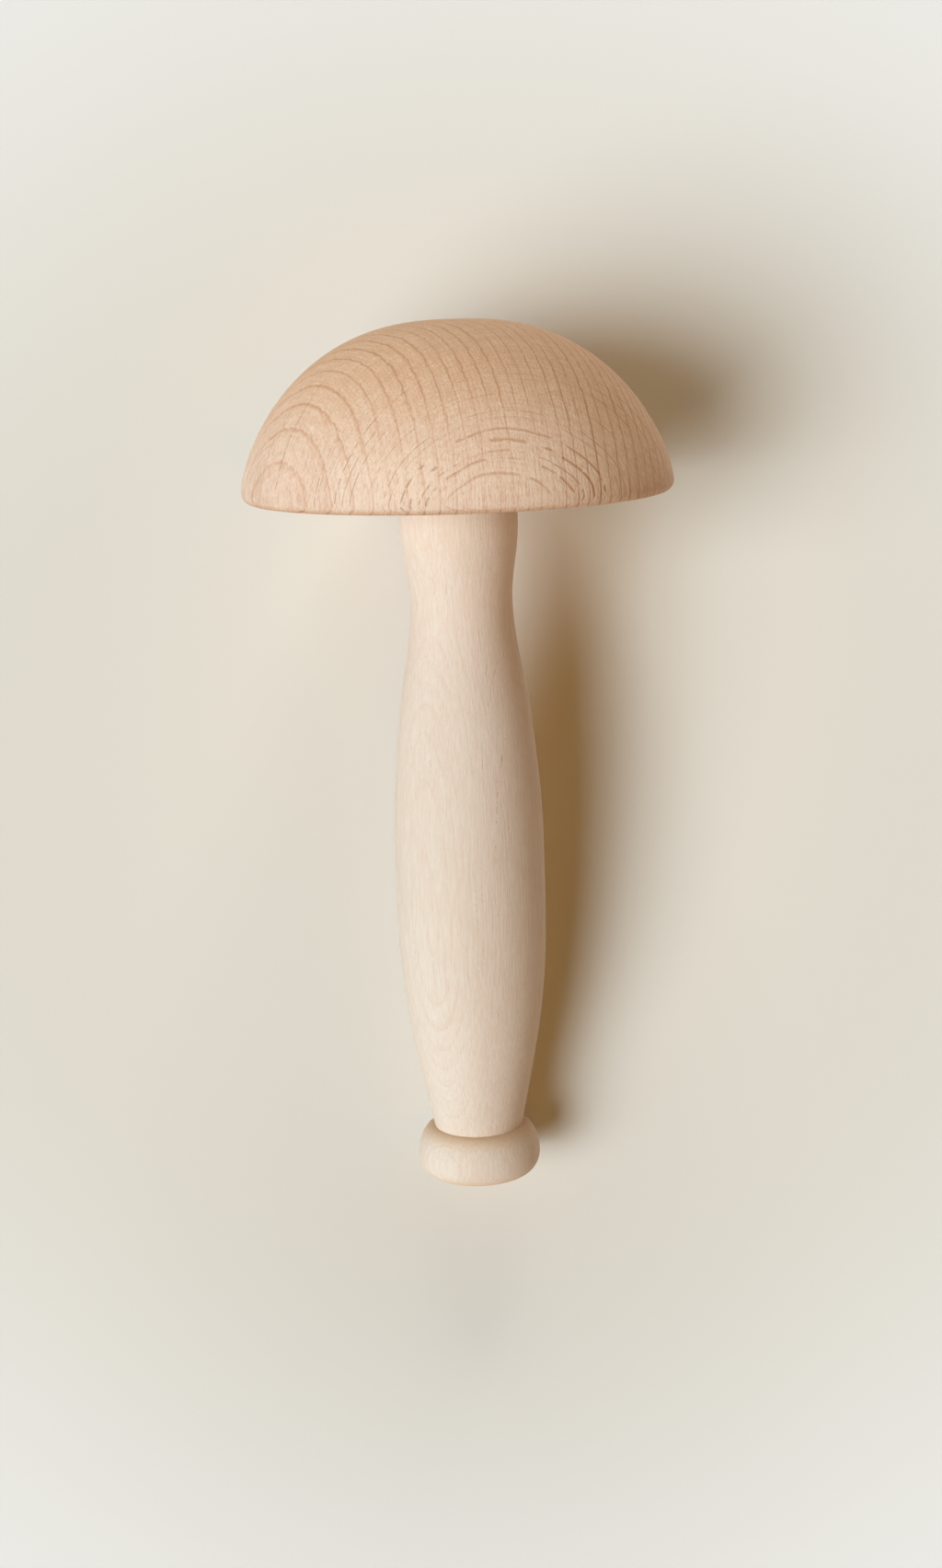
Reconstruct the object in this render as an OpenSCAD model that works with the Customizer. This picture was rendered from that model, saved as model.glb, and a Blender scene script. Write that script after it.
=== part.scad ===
// Darning mushroom: a turned beech cap pushed onto a turned handle of paler wood.
// It stands upright on the foot of its handle, with the turning axis along Z,
// and the origin is the centre of the foot's flat bottom. Millimetres throughout.

/* [Cap] */
// Diameter of the cap at its widest line, just above the rim
cap_d = 70; // [60:0.5:90]
// Height of the dome above the widest line
dome_rise = 26.4; // [24:0.2:40]
// Fullness of the dome beside the rim, where 2 is a plain ellipse
dome_side = 2.48; // [2:0.02:3]
// Fullness of the dome at its crown, where less than 2 is more peaked
dome_crown = 1.48; // [1.3:0.02:2]
// Rounding where the dome turns under to the flat underside
rim_round = 1.6; // [0.6:0.1:3]

/* [Foot] */
// Diameter of the foot ring at its widest line
foot_d = 20.8; // [18:0.2:26]
// Height of that widest line above the table
foot_low_h = 3.4; // [2:0.1:6]
// Height of the rounded shoulder above the widest line
foot_top_h = 5.1; // [3:0.1:8]
// Width of the edge that is turned away below the widest line
foot_edge = 2.6; // [1:0.1:4]
// Diameter of the crease between the foot ring and the grip
crease_d = 15; // [13:0.2:17]

/* [Grip] */
// Height from the crease to the fullest part of the grip
swell_h = 49.7; // [35:0.1:65]
// Height from the fullest part to the waist
taper_h = 40.7; // [30:0.1:55]
// Height from the waist to the straight neck
flare_h = 12.6; // [8:0.1:20]
// Height of the straight neck under the cap
neck_h = 4.5; // [3:0.1:10]
// Diameter halfway from the crease to the fullest part
swell_mid_d = 23.7; // [20:0.1:24.5]
// Diameter at the fullest part
grip_d = 24.9; // [24:0.1:30]
// Diameter halfway from the fullest part to the waist
taper_mid_d = 22.2; // [19:0.1:24]
// Diameter at the waist
waist_d = 16.8; // [14:0.1:19]
// Diameter of the neck, where the handle meets the cap
neck_d = 19.3; // [17:0.1:24]
// Growth of the radius for each millimetre of height at the crease
crease_slope = 0.2; // [0:0.01:0.3]
// Rounding of the neck's top edge
neck_round = 0.4; // [0.1:0.1:0.8]

/* [Spigot] */
// Diameter of the spigot on top of the handle
spigot_d = 12; // [8:0.1:14]
// Length of the spigot
spigot_len = 16; // [10:0.5:18]
// Clearance between the spigot and the bore, on the radius
fit_gap = 0.07; // [0.03:0.01:0.1]
// Depth of the bore beyond the end of the spigot
bore_spare = 2; // [1:0.5:3]
// Chamfer on the end of the spigot
spigot_chamfer = 1; // [0.5:0.1:1.5]
// Chamfer at the mouth of the bore
mouth_chamfer = 0.6; // [0.2:0.1:1]

/* [Hidden] */
$fn = 96;

cap_r = cap_d / 2;
foot_r = foot_d / 2;
bore_r = spigot_d / 2 + fit_gap;
bore_depth = spigot_len + bore_spare;

crease_z = foot_low_h + foot_top_h;
grip_z = crease_z + swell_h;
waist_z = grip_z + taper_h;
neck_z = waist_z + flare_h;
seat_z = neck_z + neck_h;

// Points that draw each stretch of the curves
arc_steps = 8;
dome_steps = 32;
grip_steps = 10;
// Overlap that keeps a cut or a joined solid free of a shared face
over = 1;

// Quarter of an ellipse about c, with half axes a, from one angle to another
function quarter(c, a, from, to) =
    [for (i = [0:arc_steps]) let (t = from + (to - from) * i / arc_steps)
        [c.x + a.x * cos(t), c.y + a.y * sin(t)]];

// Dome outline from the widest line up to the crown, on (r/R)^side + (z/H)^crown = 1
function dome_outline() =
    [for (i = [1:dome_steps]) let (t = 90 * i / dome_steps)
        i == dome_steps ? [0, dome_rise]
        : [cap_r * pow(cos(t), 2 / dome_side), dome_rise * pow(sin(t), 2 / dome_crown)]];

// Point at share t of a smooth stretch from [r, z] p to q, which leaves and arrives
// with the given growths of radius per height
function smooth_point(p, q, slope_p, slope_q, t) =
    let (h = q.y - p.y, u = 1 - t)
    [u * u * (1 + 2 * t) * p.x + t * t * (3 - 2 * t) * q.x
     + h * t * u * (u * slope_p - t * slope_q), p.y + h * t];

function stretch(p, q, slope_p, slope_q) =
    [for (i = [1:grip_steps]) smooth_point(p, q, slope_p, slope_q, i / grip_steps)];

function slope_between(p, q) = (q.x - p.x) / (q.y - p.y);

// Grip outline from just above the crease to the foot of the neck
function grip_outline() =
    let (crease = [crease_d / 2, crease_z],
         swell = [swell_mid_d / 2, (crease_z + grip_z) / 2],
         full = [grip_d / 2, grip_z],
         taper = [taper_mid_d / 2, (grip_z + waist_z) / 2],
         waist = [waist_d / 2, waist_z],
         neck = [neck_d / 2, neck_z],
         swell_slope = slope_between(crease, full),
         taper_slope = slope_between(full, waist))
    concat(stretch(crease, swell, crease_slope, swell_slope),
           stretch(swell, full, swell_slope, 0),
           stretch(full, taper, 0, taper_slope),
           stretch(taper, waist, taper_slope, 0),
           stretch(waist, neck, 0, 0));

// Handle: foot ring, swelling grip, waist, neck and spigot, turned from one piece
module handle() {
    color([0.89, 0.78, 0.63])
    union() {
        rotate_extrude()
            polygon(concat(
                [[0, 0]],
                quarter([foot_r - foot_edge, foot_low_h], [foot_edge, foot_low_h], -90, 0),
                quarter([crease_d / 2, foot_low_h], [foot_r - crease_d / 2, foot_top_h], 90 / arc_steps, 90),
                grip_outline(),
                quarter([neck_d / 2 - neck_round, seat_z - neck_round], [neck_round, neck_round], 0, 90),
                [[0, seat_z]]));
        translate([0, 0, seat_z - over])
            cylinder(d = spigot_d, h = spigot_len - spigot_chamfer + over);
        translate([0, 0, seat_z + spigot_len - spigot_chamfer])
            cylinder(d1 = spigot_d, d2 = spigot_d - 2 * spigot_chamfer, h = spigot_chamfer);
    }
}

// Cap: a solid dome with a flat underside and a blind bore for the spigot
module cap() {
    color([0.78, 0.60, 0.45])
    translate([0, 0, seat_z])
    difference() {
        rotate_extrude()
            polygon(concat(
                [[0, 0]],
                quarter([cap_r - rim_round, rim_round], [rim_round, rim_round], -90, 0),
                [for (p = dome_outline()) [p.x, p.y + rim_round]]));
        translate([0, 0, -over])
            cylinder(r = bore_r, h = bore_depth + over);
        translate([0, 0, -over])
            cylinder(r1 = bore_r + mouth_chamfer + over, r2 = bore_r, h = mouth_chamfer + over);
    }
}

handle();
cap();
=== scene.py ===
import math
import bmesh
import bpy
from mathutils import Matrix, Vector


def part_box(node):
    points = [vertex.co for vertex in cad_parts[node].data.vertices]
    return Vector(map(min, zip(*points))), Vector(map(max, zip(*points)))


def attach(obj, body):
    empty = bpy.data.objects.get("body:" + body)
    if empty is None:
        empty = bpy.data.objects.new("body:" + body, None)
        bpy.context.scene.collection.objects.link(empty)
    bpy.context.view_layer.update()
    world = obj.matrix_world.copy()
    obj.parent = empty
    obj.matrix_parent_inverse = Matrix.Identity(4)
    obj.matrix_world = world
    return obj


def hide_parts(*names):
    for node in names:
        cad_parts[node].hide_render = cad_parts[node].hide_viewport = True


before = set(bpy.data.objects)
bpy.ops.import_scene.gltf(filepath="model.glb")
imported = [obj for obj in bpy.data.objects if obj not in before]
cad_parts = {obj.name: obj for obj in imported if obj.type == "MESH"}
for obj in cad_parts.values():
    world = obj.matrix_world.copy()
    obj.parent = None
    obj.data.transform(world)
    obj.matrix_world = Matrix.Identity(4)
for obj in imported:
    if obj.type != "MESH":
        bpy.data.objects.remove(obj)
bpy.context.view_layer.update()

# Handle: one turning of pale close-grained wood, a swelling grip between a foot ring and a
# waist, with a spigot on top that holds the cap. It is turned from a square bar sawn along
# the grain, sanded smooth and left bare.
MM = 0.001
HANDLE_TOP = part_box("handle")[1].z
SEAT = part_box("cap")[0].z
FOOT_R = 10.4 * MM
FOOT_LOW = 3.4 * MM
FOOT_TOP = 5.1 * MM
FOOT_EDGE = 2.6 * MM
GRIP_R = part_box("handle")[1].x
# Outline of the grip: radius, height and growth of the radius with height at each station
CREASE = (7.5 * MM, FOOT_LOW + FOOT_TOP, 0.2)
SWELL = (11.85 * MM, 33.35 * MM, 0.0996)
FULLEST = (GRIP_R, 58.2 * MM, 0)
TAPER = (11.1 * MM, 78.55 * MM, -0.0995)
WAIST = (8.4 * MM, 98.9 * MM, 0)
NECK = (9.65 * MM, 111.5 * MM, 0)
NECK_ROUND = 0.4 * MM
SPIGOT_R = 6 * MM
SPIGOT_CHAMFER = 1 * MM
HANDLE_SIDES = 192
# Points closer than the weld are made one, and edges that bend past the limit stay crisp
WELD = 0.001 * MM
CRISP_BEND = math.radians(32)
# The finish of bare wood: dull, with a slight shine and a grain that can just be felt
DULL = 0.66
SHINE = 0.12
RELIEF = 0.03 * MM
# Millimetres out, across and up over which the rays gather and thin out
RAY_ZONE = (11, 7, 11)


def quarter(middle, half, start, end, steps):
    """Points (radius, height) along an ellipse about middle, between two angles in degrees."""
    turns = [math.radians(start + (end - start) * i / steps) for i in range(steps + 1)]
    return [(middle[0] + half[0] * math.cos(t), middle[1] + half[1] * math.sin(t)) for t in turns]


def stretch(low, high, steps):
    """Points of a smooth outline from one station to the next, without its first point: a
    cubic curve that has each station's radius and growth at its two ends."""
    rise = high[1] - low[1]
    points = []
    for i in range(1, steps + 1):
        t = i / steps
        u = 1 - t
        radius = (u * u * (1 + 2 * t) * low[0] + t * t * (3 - 2 * t) * high[0]
                  + rise * t * u * (u * low[2] - t * high[2]))
        points.append((radius, low[1] + rise * t))
    return points


def placed(name, data):
    """A new object in the scene, for a piece, the camera or a lamp."""
    thing = bpy.data.objects.new(name, data)
    bpy.context.scene.collection.objects.link(thing)
    return thing


def shaped(name, mesh):
    """A new object in the scene with the shape of a finished bmesh."""
    data = bpy.data.meshes.new(name)
    mesh.to_mesh(data)
    mesh.free()
    return placed(name, data)


def turned(name, outline, sides):
    """A solid turned on the lathe: an outline of (radius, height) points spun about Z."""
    mesh = bmesh.new()
    points = [mesh.verts.new((radius, 0, height)) for radius, height in outline]
    edges = [mesh.edges.new(pair) for pair in zip(points, points[1:])]
    bmesh.ops.spin(mesh, geom=points + edges, cent=(0, 0, 0), axis=(0, 0, 1),
                   angle=math.tau, steps=sides, use_merge=True)
    bmesh.ops.remove_doubles(mesh, verts=mesh.verts, dist=WELD)
    bmesh.ops.recalc_face_normals(mesh, faces=mesh.faces)
    for face in mesh.faces:
        face.smooth = True
    for edge in mesh.edges:
        edge.smooth = edge.calc_face_angle(0) < CRISP_BEND
    return shaped(name, mesh)


def screen(red, green, blue):
    """A colour written by its 0 to 255 screen values."""
    parts = [v / 255 for v in (red, green, blue)]
    return [v / 12.92 if v <= 0.04045 else ((v + 0.055) / 1.055) ** 2.4 for v in parts] + [1]


class Grain:
    """One socket of a material's nodes, so that patterns are written as plain sums."""

    def __init__(self, tree, socket=None):
        self.tree, self.socket = tree, socket

    def node(self, kind, settings, inputs, output=0):
        """Adds a node of a kind, with its settings and then the values or links it takes."""
        made = self.tree.nodes.new(kind)
        for name, value in settings.items():
            setattr(made, name, value)
        for name, value in inputs.items():
            if isinstance(value, Grain):
                self.tree.links.new(value.socket, made.inputs[name])
            else:
                made.inputs[name].default_value = value
        return Grain(self.tree, made.outputs[output])

    def maths(self, operation, *values):
        """One step of arithmetic on sockets and plain numbers."""
        return self.node("ShaderNodeMath", {"operation": operation}, dict(enumerate(values)))

    def __add__(self, other):
        return self.maths("ADD", self, other)

    def __sub__(self, other):
        return self.maths("SUBTRACT", self, other)

    def __rsub__(self, other):
        return self.maths("SUBTRACT", other, self)

    def __mul__(self, other):
        return self.maths("MULTIPLY", self, other)

    def __truediv__(self, other):
        return self.maths("DIVIDE", self, other)

    def __pow__(self, other):
        return self.maths("POWER", self, other)

    __radd__ = __add__
    __rmul__ = __mul__

    def between(self, start, end):
        """Rises smoothly from 0 at start to 1 at end, or falls where end is the lower one."""
        return self.node("ShaderNodeMapRange", {"interpolation_type": "SMOOTHSTEP"},
                         {"Value": self, "From Min": start, "From Max": end})

    def at(self, x, y, z):
        """A place or a direction from its three parts."""
        return self.node("ShaderNodeCombineXYZ", {}, {"X": x, "Y": y, "Z": z})

    def parts(self, vector):
        """The three parts of a place or a direction."""
        return [self.node("ShaderNodeSeparateXYZ", {}, {"Vector": vector}, way) for way in "XYZ"]

    def chance(self, number, output):
        """A fixed random draw for each whole number."""
        return self.node("ShaderNodeTexWhiteNoise", {"noise_dimensions": "1D"}, {"W": number}, output)

    def cloud(self, place, span, detail=1, roughness=0.5):
        """Soft noise from 0 to 1 at a place. The span is how far apart its changes lie each way."""
        where = self.at(*[distance / stride for distance, stride in zip(place, span)])
        return self.node("ShaderNodeTexNoise", {"noise_dimensions": "3D"},
                         {"Vector": where, "Scale": 1, "Detail": detail, "Roughness": roughness})

    def dashes(self, across, out, up, share, gap, span, seed, shift):
        """Thin sheets set side by side about a gap apart, each broken into dashes that taper
        at their ends, with zones of more and of fewer dashes. The share is what is kept, the
        span a dash's size across, out and up, and the shift how far on the zones are read."""
        count = across / gap
        number = self.maths("FLOOR", count)
        draw = self.chance(number + seed, "Color")
        side, force = [self.node("ShaderNodeSeparateColor", {}, {"Color": draw}, part)
                       for part in ("Red", "Green")]
        # Each sheet stands anywhere in the middle 70 per cent of its gap
        off = self.maths("ABSOLUTE", count - number - side * 0.7 - 0.15) * (2 * gap / span[0])
        # Sheets side by side read the noise nearly 6 spans apart, so their dashes don't line up
        patch = self.cloud((out, number * 5.9, up), (span[1], 1, span[2]))
        zone = self.cloud((out + shift, across, up), RAY_ZONE)
        # The share sets how high the noise has to be for a dash, and the draw how plain it is
        kept = (patch + (zone - 0.5) * 1.1).between(0.72 - share * 0.5, 0.86 - share * 0.5)
        body = kept * (force ** 1.5 * 0.9 + 0.1)
        return (body - off * 0.8).between(-0.3, 0.4) * body

    def mixed(self, share, low, high):
        """A colour between two, by a share from 0 to 1."""
        return self.node("ShaderNodeMix", {"data_type": "RGBA"}, {0: share, 6: low, 7: high}, 2)


def bare_wood(name, pith_far, pith_turn, ring, look):
    """Bare turned wood: growth rings about a pith beside the piece, rays through the pith,
    and fibres along Z. Sizes are in millimetres, and the pith's side is in degrees from X. In
    a look, a mark has a colour and the share of it that shows where the mark is strongest."""
    material = bpy.data.materials.new(name)
    material.use_nodes = True
    tree = material.node_tree
    shader = tree.nodes["Principled BSDF"]
    grain = Grain(tree)

    # Places are turned and moved so that the pith is at the middle, and counted in millimetres
    turn = (0, 0, math.radians(180 - pith_turn))
    spot = grain.node("ShaderNodeMapping", {}, {
        "Vector": grain.node("ShaderNodeTexCoord", {}, {}, "Object"), "Location": (pith_far, 0, 0),
        "Rotation": turn, "Scale": (1 / MM, 1 / MM, 1 / MM)})
    normal = grain.node("ShaderNodeMapping", {"vector_type": "VECTOR"}, {
        "Vector": grain.node("ShaderNodeTexCoord", {}, {}, "Normal"), "Rotation": turn})
    x, y, z = grain.parts(spot)
    out = (x * x + y * y) ** 0.5
    across = grain.maths("ARCTAN2", y, x) * pith_far

    # How the surface cuts the wood: across the fibres, facing towards the pith or away from it,
    # or with the rays broadside on. The side turned away from the pith is also the side away
    # from the lamps. The darker, heavier marks drawn there are painted shade, which fades
    # where the surface lies along the rings.
    end_cut = grain.maths("ABSOLUTE", grain.parts(normal)[2])
    ring_face, ray_face = [
        grain.node("ShaderNodeVectorMath", {"operation": "DOT_PRODUCT"}, {0: normal, 1: way}, "Value")
        for way in (grain.at(x / out, y / out, 0), grain.at(y / out * -1, x / out, 0))]
    shade_side = ring_face.between(0.15, 0.5) * (ring_face.between(0.95, 0.65) * 0.7 + 0.3)
    pith_side = ring_face.between(-0.2, -0.9)
    ray_cut = grain.maths("ABSOLUTE", ray_face)

    # Growth rings, a thin dark line at the end of each year with a soft rise before it
    sway = grain.cloud((out, across, z), look["sway_span"])
    jog = grain.cloud((out, across, z), look["jog_span"], 2, 0.6)
    depth = out + (sway - 0.5) * look["sway"] + (jog - 0.5) * look["jog"] - look["first_ring"]
    years = depth / ring + depth * depth * look["closing"]
    season = grain.maths("FRACT", years)
    year = grain.chance(grain.maths("FLOOR", years) + look["seed"], "Value")
    broken = grain.cloud((out, across, z), (1, 1.2, 3)).between(0.3, 0.55)
    layers = grain.cloud((out, across, z), (0.3, 5, 9), 1, 0.6)
    # Ring lines are drawn heavier on the side turned from the pith: painted shade
    cut = end_cut.between(0.3, 0.9) * 1.05 + shade_side * 1.15 + pith_side * 0.45 + 0.08
    force = (year * 0.4 + 0.6) * (broken * 0.4 + 0.6) * cut
    line = season.between(0.88 - (end_cut + shade_side) * 0.1, 0.95) * season.between(1, 0.97) * force
    late = (season.between(0.4, 1) * season.between(1, 0.98) * (year * 0.5 + 0.5)
            * layers.between(0.2, 0.7))

    # Rays, thin upright sheets that run out from the pith, with finer ones between them
    bend = grain.cloud((out, across, z), (9, 9, 6))
    sheet = across + (bend - 0.5) * look["bend"]
    # Extra ray dashes on the side turned from the pith are painted shade
    share = look["ray_share"] + shade_side * look["shade_side_rays"]
    broad = (grain.dashes(sheet, out, z, share, **look["rays"])
             * ray_cut.between(0.99, 0.94) * end_cut.between(1, 0.4))
    fine = grain.cloud((sheet, out, z), (0.28, 9, 1.2), 1, 0.6)

    # Fibres, pale and dark points, and the slow change of tone through the wood
    fibre = grain.cloud((x, y, z), (0.3, 0.3, 4), 2, 0.7)
    speck = grain.cloud((x, y, z), (0.2, 0.2, 0.4))
    tone = grain.cloud((x, y, z), (12, 12, 40))
    weave = ((layers + fine - 1) * look["weave"] + (fibre - 0.5) * look["fibre"]
             + (speck - 0.5) * look["speck"])

    # Colour, from the plain wood to the marks that lie over it
    colour = grain.mixed(tone.between(0.3, 0.7), look["pale"], look["deep"])
    for mark, stain in (
            # Painted sheen: a paler colour where the rays lie broadside
            (ray_cut.between(0.6, 1) * look["painted_sheen"], "pale_and_sheen_colour"),
            # Painted shade: a darker golden tint on the side turned from the pith
            (shade_side * look["shade_tint"], "painted_shade_colour"),
            (late * look["late"], "late_colour"),
            # End grain is darker, and the same darkening is also painted shade on faces turned up,
            # away from the lamps
            (end_cut.between(0.3, 0.85) * look["end"], "end_grain_and_shade_colour"),
            (grain.maths("MAXIMUM", weave, 0), "line_colour"),
            (grain.maths("MAXIMUM", weave * -1, 0), "pale_and_sheen_colour"),
            (line * look["line"], "line_colour"),
            # Rays are darker on the side turned from the pith, which is painted shade
            (broad * (shade_side * 0.4 + 0.6) * look["broad"], "ray_colour")):
        colour = grain.mixed(mark, colour, look[stain])
    tree.links.new(colour.socket, shader.inputs["Base Color"])
    rough = DULL - line * 0.05 + (fibre - 0.5) * 0.1
    tree.links.new(rough.socket, shader.inputs["Roughness"])
    height = weave * -look["roughen"] - line * look["ridge"] - broad * look["pit"]
    bump = grain.node("ShaderNodeBump", {}, {"Distance": RELIEF, "Height": height})
    tree.links.new(bump.socket, shader.inputs["Normal"])
    shader.inputs["Specular IOR Level"].default_value = SHINE
    return material


handle = turned(
    "handle_turned",
    [(0, 0)]
    + quarter((FOOT_R - FOOT_EDGE, FOOT_LOW), (FOOT_EDGE, FOOT_LOW), -90, 0, steps=12)
    + quarter((CREASE[0], FOOT_LOW), (FOOT_R - CREASE[0], FOOT_TOP), 0, 90, steps=12)[1:]
    + stretch(CREASE, SWELL, steps=18)
    + stretch(SWELL, FULLEST, steps=16)
    + stretch(FULLEST, TAPER, steps=16)
    + stretch(TAPER, WAIST, steps=18)
    + stretch(WAIST, NECK, steps=14)
    + quarter((NECK[0] - NECK_ROUND, SEAT - NECK_ROUND), (NECK_ROUND, NECK_ROUND), 0, 90, steps=4)
    + [(SPIGOT_R, SEAT), (SPIGOT_R, HANDLE_TOP - SPIGOT_CHAMFER),
       (SPIGOT_R - SPIGOT_CHAMFER, HANDLE_TOP), (0, HANDLE_TOP)],
    HANDLE_SIDES)
pale_wood = bare_wood("pale_wood", pith_far=140, pith_turn=235, ring=0.62, look={
    "pale": screen(231, 212, 193), "deep": screen(226, 205, 184),
    # The paler colour also serves as a painted sheen where the rays lie broadside; the handle takes
    # none
    "pale_and_sheen_colour": screen(245, 232, 217), "painted_sheen": 0,
    # The shade tint is painted shade on the side turned from the pith; the handle takes none of it
    "painted_shade_colour": screen(222, 198, 170), "shade_tint": 0,
    "late_colour": screen(227, 198, 176), "late": 0.4,
    "line_colour": screen(218, 182, 157), "line": 0.4,
    # End grain, darker both as wood and as painted shade on the shoulders that face up
    "end_grain_and_shade_colour": screen(228, 193, 156), "end": 0.8,
    # The rings: where they start, how they waver, and how they close up towards the bark
    "seed": 0.5, "first_ring": 140, "closing": 0,
    "sway": 1.2, "sway_span": (14, 14, 40), "jog": 0.12, "jog_span": (6, 1.6, 9),
    # The rays, and the share of them that shows
    "rays": {"gap": 0.8, "span": (0.16, 2, 0.8), "seed": 5, "shift": 0}, "bend": 0.5,
    "ray_colour": screen(172, 130, 98), "broad": 0.6, "ray_share": 0.3, "shade_side_rays": 0,
    # How strongly the fine grain colours the wood, and how deep each mark lies in the surface
    "fibre": 1.3, "weave": 0.3, "speck": 0.4, "roughen": 1.2, "ridge": 0.1, "pit": 0.6})
handle.data.materials.append(pale_wood)
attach(handle, "handle")
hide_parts("handle")

# Cap: a solid dome of beech with a flat underside and a blind bore that is pushed onto the
# spigot. It is turned from a square block with the grain along the axis, so that the rings
# show as arches on its sides and the rays as dashed arcs, and sanded smooth.
CAP_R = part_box("cap")[1].x
CAP_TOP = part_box("cap")[1].z
RIM_ROUND = 1.6 * MM
# Powers of radius and of height in the dome's curve. Next to an ellipse it leans in a little
# at the side and is flatter and broader on top.
DOME_SIDE = 2.48
DOME_CROWN = 1.48
DOME_STEPS = 72
BORE_R = 6.07 * MM
BORE_DEPTH = 18 * MM
BORE_MOUTH = 0.6 * MM
CAP_SIDES = 256
CAP_RING = 2.62

dome_low = SEAT + RIM_ROUND
dome = []
for step in range(1, DOME_STEPS):
    turn = math.radians(90 * step / DOME_STEPS)
    dome.append((CAP_R * math.cos(turn) ** (2 / DOME_SIDE),
                 dome_low + (CAP_TOP - SEAT - RIM_ROUND) * math.sin(turn) ** (2 / DOME_CROWN)))
cap = turned(
    "cap_turned",
    [(0, SEAT + BORE_DEPTH), (BORE_R, SEAT + BORE_DEPTH), (BORE_R, SEAT + BORE_MOUTH),
     (BORE_R + BORE_MOUTH, SEAT)]
    + quarter((CAP_R - RIM_ROUND, dome_low), (RIM_ROUND, RIM_ROUND), -90, 0, steps=8)
    + dome + [(0, CAP_TOP)],
    CAP_SIDES)
beech = bare_wood("beech", pith_far=80, pith_turn=216, ring=CAP_RING, look={
    "pale": screen(234, 204, 178), "deep": screen(229, 194, 168),
    # Painted sheen: a paler colour where the rays lie broadside
    "pale_and_sheen_colour": screen(246, 219, 196), "painted_sheen": 0.3,
    # Painted shade: a darker, golden tint on the side turned from the pith, away from the lamps
    "painted_shade_colour": screen(217, 176, 134), "shade_tint": 0.5,
    "late_colour": screen(220, 178, 150), "late": 0.55,
    "line_colour": screen(205, 150, 114), "line": 0.8,
    # End grain, darker both as wood and as painted shade on the crown, which faces away from the
    # lamps
    "end_grain_and_shade_colour": screen(218, 175, 139), "end": 1,
    "seed": 0.5, "first_ring": 46.5 + 0.05 * CAP_RING, "closing": 0.00165,
    "sway": 0.7, "sway_span": (18, 18, 60), "jog": 0.8, "jog_span": (6, 1.4, 9),
    "rays": {"gap": 0.85, "span": (0.16, 2.6, 1.3), "seed": 81062, "shift": 858.11}, "bend": 0.6,
    # The extra ray share on the side turned from the pith is painted shade
    "ray_colour": screen(196, 140, 98), "broad": 1, "ray_share": 0.68, "shade_side_rays": 0.12,
    "fibre": 1.5, "weave": 0.85, "speck": 0.95, "roughen": 1.9, "ridge": 2.6, "pit": 3})
cap.data.materials.append(beech)
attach(cap, "cap")
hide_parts("cap")

# Camera: it looks straight down at a table on which the mushroom lies on its side, touching
# the table with the cap's rim and the foot ring. The mushroom stays upright in its own frame
# here, so the table leans behind it and the camera looks square at the table.
LENS_MM = 52.8
SENSOR_MM = 36
CAMERA_HEIGHT = 0.407
ROLL = math.radians(1.9)
# The camera's aim, from where the foot ring touches the table
AIM_UP = 60.9 * MM
AIM_SIDE = 0.6 * MM
SIDEWAYS = Vector((1, 0, 0))
rim_touch = Vector((0, CAP_R, SEAT + RIM_ROUND))
foot_touch = Vector((0, FOOT_R, FOOT_LOW))
table_up = (rim_touch - foot_touch).normalized()
table_out = SIDEWAYS.cross(table_up)
aim = foot_touch + table_up * AIM_UP + SIDEWAYS * AIM_SIDE
view_right = SIDEWAYS * math.cos(ROLL) - table_up * math.sin(ROLL)
view_up = SIDEWAYS * math.sin(ROLL) + table_up * math.cos(ROLL)
facing = Matrix((view_right, view_up, table_out)).transposed().to_quaternion()

camera_data = bpy.data.cameras.new("camera")
camera_data.lens = LENS_MM
camera_data.sensor_width = SENSOR_MM
camera = placed("camera", camera_data)
camera.rotation_mode = "QUATERNION"
camera.location = aim + table_out * CAMERA_HEIGHT
camera.rotation_quaternion = facing
bpy.context.scene.camera = camera

# Table: pale cream, plain and matt. It is darker in the middle about the mushroom and a little
# lighter towards its edges, which is painted light. Only its upper side shows and it holds no
# light back, so that the back of the mushroom can be seen through it.
TABLE_HALF = 0.6
TABLE_GAP = 0.1 * MM
TABLE_MIDDLE = screen(224, 217, 205)
TABLE_EDGE = screen(240, 238, 234)
MIDDLE_R = 75 * MM
EDGE_R = 190 * MM
TABLE_DULL = 0.8
TABLE_SHINE = 0.1
table_mesh = bmesh.new()
bmesh.ops.create_grid(table_mesh, x_segments=1, y_segments=1, size=TABLE_HALF)
bmesh.ops.transform(table_mesh, verts=table_mesh.verts,
                    matrix=Matrix.LocRotScale(aim - table_out * TABLE_GAP, facing, None))
table = shaped("table", table_mesh)
cream = bpy.data.materials.new("cream_table")
cream.use_nodes = True
stage = Grain(cream.node_tree)
spot = stage.node("ShaderNodeTexCoord", {}, {}, "Object")
offset = stage.node("ShaderNodeVectorMath", {"operation": "SUBTRACT"}, {0: spot, 1: aim})
away = stage.node("ShaderNodeVectorMath", {"operation": "LENGTH"}, {0: offset}, "Value")
top = cream.node_tree.nodes["Principled BSDF"]
# Painted light: darker in the middle, lighter towards the edges
tone = stage.mixed(away.between(MIDDLE_R, EDGE_R), TABLE_MIDDLE, TABLE_EDGE)
cream.node_tree.links.new(tone.socket, top.inputs["Base Color"])
top.inputs["Roughness"].default_value = TABLE_DULL
top.inputs["Specular IOR Level"].default_value = TABLE_SHINE
below = stage.node("ShaderNodeNewGeometry", {}, {}, "Backfacing")
shadow_ray = stage.node("ShaderNodeLightPath", {}, {}, "Is Shadow Ray")
unseen = stage.maths("MAXIMUM", below, shadow_ray)
clear = stage.node("ShaderNodeBsdfTransparent", {}, {})
solid = Grain(cream.node_tree, top.outputs["BSDF"])
both = stage.node("ShaderNodeMixShader", {}, {0: unseen, 1: solid, 2: clear})
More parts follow.
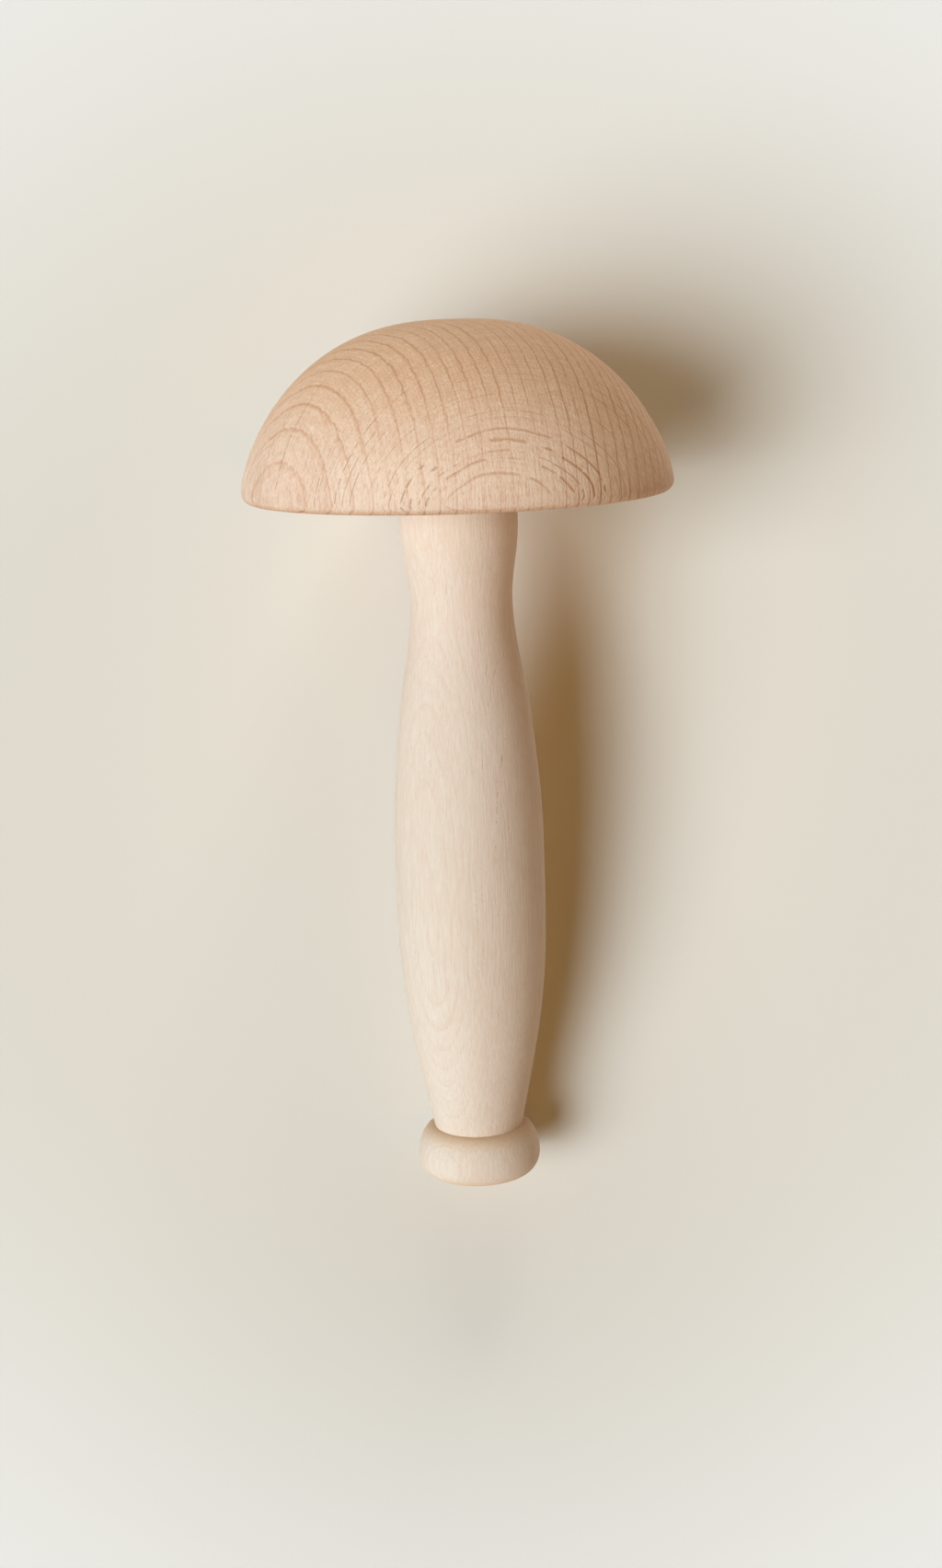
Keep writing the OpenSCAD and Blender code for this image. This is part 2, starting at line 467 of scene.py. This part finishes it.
cream.node_tree.links.new(both.socket, cream.node_tree.nodes["Material Output"].inputs["Surface"])
table.data.materials.append(cream)

# Light: a wide soft lamp from the lower left of the picture, two narrower ones close to it, a
# lamp from above the cap, faint warm light from overhead, from the foot and from the right,
# and a lamp behind the table for the back. A strength is what a white sheet facing it gets.


def lamp(name, toward, width, strength):
    """A far lamp, by its direction across the picture, up it and out of it, its width in
    degrees and the red, green and blue of its strength."""
    light = bpy.data.lights.new(name, "SUN")
    light.energy = math.pi * max(strength)
    light.color = [part / max(strength) for part in strength]
    light.angle = math.radians(width)
    thing = placed(name, light)
    thing.rotation_mode = "QUATERNION"
    direction = view_right * toward[0] + view_up * toward[1] + table_out * toward[2]
    thing.rotation_quaternion = direction.to_track_quat("Z", "Y")


lamp("key", (-0.56, -0.32, 0.77), 40, (0.67, 0.74, 0.80))
lamp("side", (-0.60, -0.22, 0.77), 24, (0.12, 0.15, 0.18))
lamp("high", (-0.44, -0.16, 0.88), 24, (0.12, 0.13, 0.13))
lamp("overhead", (0.13, -0.22, 0.97), 24, (0.08, 0.047, 0))
lamp("top_fill", (0, 0.95, 0.31), 30, (0.385, 0.40, 0.38))
lamp("foot_fill", (0.3, -0.9, 0.3), 60, (0.04, 0.015, 0))
lamp("right_fill", (0.8, 0, 0.6), 60, (0.08, 0.03, 0))
lamp("behind", (-0.1, 0, -0.99), 20, (0.2, 0.185, 0.16))

# The room gives no light of its own. Past the table it has the colour of the table's edge.
ROOM_LIGHT = (0, 0, 0, 1)
room = bpy.data.worlds.new("room")
room.use_nodes = True
walls = Grain(room.node_tree)
camera_ray, glossy_ray, clear_ray = [
    walls.node("ShaderNodeLightPath", {}, {}, ray)
    for ray in ("Is Camera Ray", "Is Glossy Ray", "Is Transmission Ray")]
wall = walls.mixed(camera_ray + glossy_ray + clear_ray, ROOM_LIGHT, TABLE_EDGE)
room.node_tree.links.new(wall.socket, room.node_tree.nodes["Background"].inputs["Color"])
bpy.context.scene.world = room
bpy.context.scene.view_settings.view_transform = "Standard"
